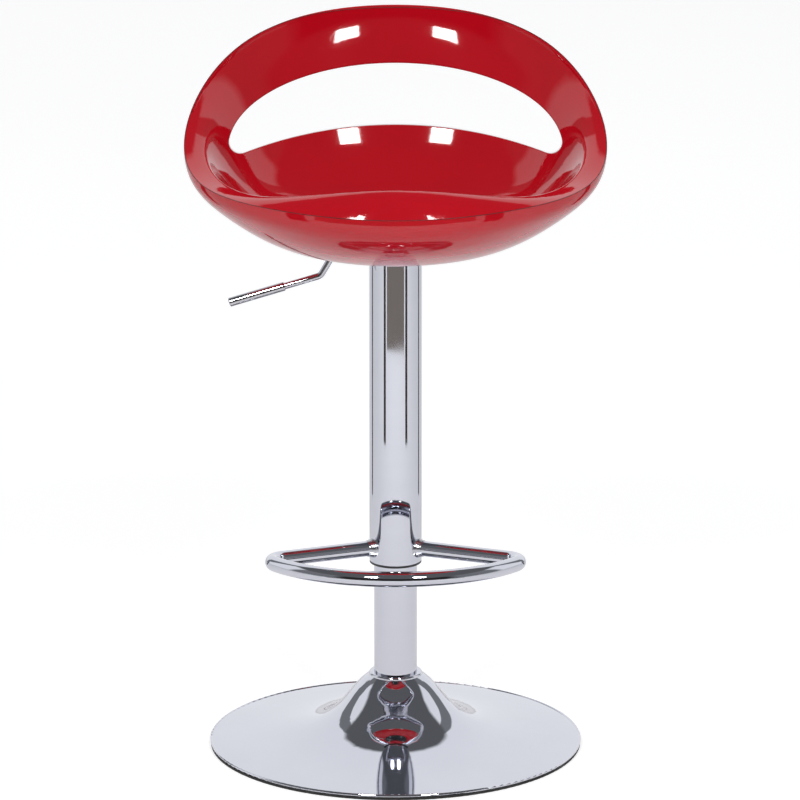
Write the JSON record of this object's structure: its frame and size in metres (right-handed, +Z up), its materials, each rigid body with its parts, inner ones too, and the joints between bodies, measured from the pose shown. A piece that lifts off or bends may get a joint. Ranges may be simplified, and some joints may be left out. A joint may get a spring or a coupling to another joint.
{
  "type": "adjustable swivel stool",
  "caption": "Gas-lift swivel bar stool with a glossy moulded bowl seat, a crescent opening in its low back, a D-shaped footrest, a side lever and a round trumpet base.",
  "frame": {"origin": "on the floor under the column's axis, at the centre of the round base", "axes": "+Z up along the column; -Y towards the front, where the footrest reaches; +X to the right seen from the front"},
  "size_m": [0.4332, 0.385, 0.7442],
  "materials": {
    "chrome": "bright chrome plate",
    "weld": "chrome over a weld bead",
    "lever_chrome": "bright chrome plate",
    "black_rubber": "matt black rubber",
    "mild_steel": "bare rolled steel",
    "black_paint": "black powder coat",
    "nylon": "natural nylon",
    "black_nylon": "black nylon",
    "brass": "bare brass",
    "bearing_steel": "ground steel",
    "aluminium": "turned aluminium",
    "zinc_steel": "bright zinc plate",
    "red_shell": "high-gloss red ABS",
    "red_bowl": "high-gloss red ABS"
  },
  "bodies": {
    "base": {"base_cover": "chrome", "floor_ring": "black_rubber", "base_plate": "mild_steel", "base_hub": "mild_steel", "base_gussets": "mild_steel", "trim_ring": "chrome", "standpipe": "chrome", "standpipe_floor": "mild_steel", "guide_bush": "nylon", "lower_race": "bearing_steel"},
    "bearing_cage": {"ball_cage": "brass", "thrust_balls": "bearing_steel"},
    "rod": {"upper_race": "bearing_steel", "piston_rod": "bearing_steel", "piston": "aluminium", "rod_clip": "zinc_steel", "rod_washer": "zinc_steel", "bumper": "black_rubber"},
    "seat": {"gas_cylinder": "black_paint", "rod_guide": "aluminium", "rod_seal": "black_rubber", "valve_body": "aluminium", "footrest_sleeve": "chrome", "sleeve_bush": "black_nylon", "sleeve_cap": "mild_steel", "footrest_ring": "chrome", "footrest_welds": "weld", "seat_plate": "black_paint", "cylinder_socket": "black_paint", "lever_cheeks": "black_paint", "lever_pin": "bearing_steel", "seat_bolts": "zinc_steel", "lock_washers": "zinc_steel", "threaded_inserts": "brass", "seat_shell_inner": "red_shell", "seat_shell_outer": "red_bowl"},
    "lever": {"lever_rod": "chrome", "lever_grip": "lever_chrome"},
    "release_pin": {"valve_pin": "bearing_steel"}
  },
  "joints": [
    {"name": "swivel", "type": "hinge", "parent": "base", "child": "rod", "pos_m": [0, 0, 0.03], "axis": [0, 0, 1], "continuous": true},
    {"name": "cage_turn", "type": "hinge", "parent": "base", "child": "bearing_cage", "pos_m": [0, 0, 0.03], "axis": [0, 0, 1], "continuous": true},
    {"name": "height", "type": "slide", "parent": "rod", "child": "seat", "axis": [0, 0, 1], "range_m": [0, 0.21]},
    {"name": "lever_pull", "type": "hinge", "parent": "seat", "child": "lever", "pos_m": [-0.026, 0, 0.53], "axis": [0, 1, 0], "range_deg": [0, 6], "stiffness_Nm_per_rad": 6, "springref_deg": -2.86},
    {"name": "pin_press", "type": "slide", "parent": "seat", "child": "release_pin", "axis": [0, 0, -1], "range_m": [0, 0.0033]}
  ],
  "couplings": [
    {"joint": "cage_turn", "follows": "swivel", "ratio": 0.5},
    {"joint": "pin_press", "follows": "lever_pull", "m_per_rad": 0.03}
  ]
}
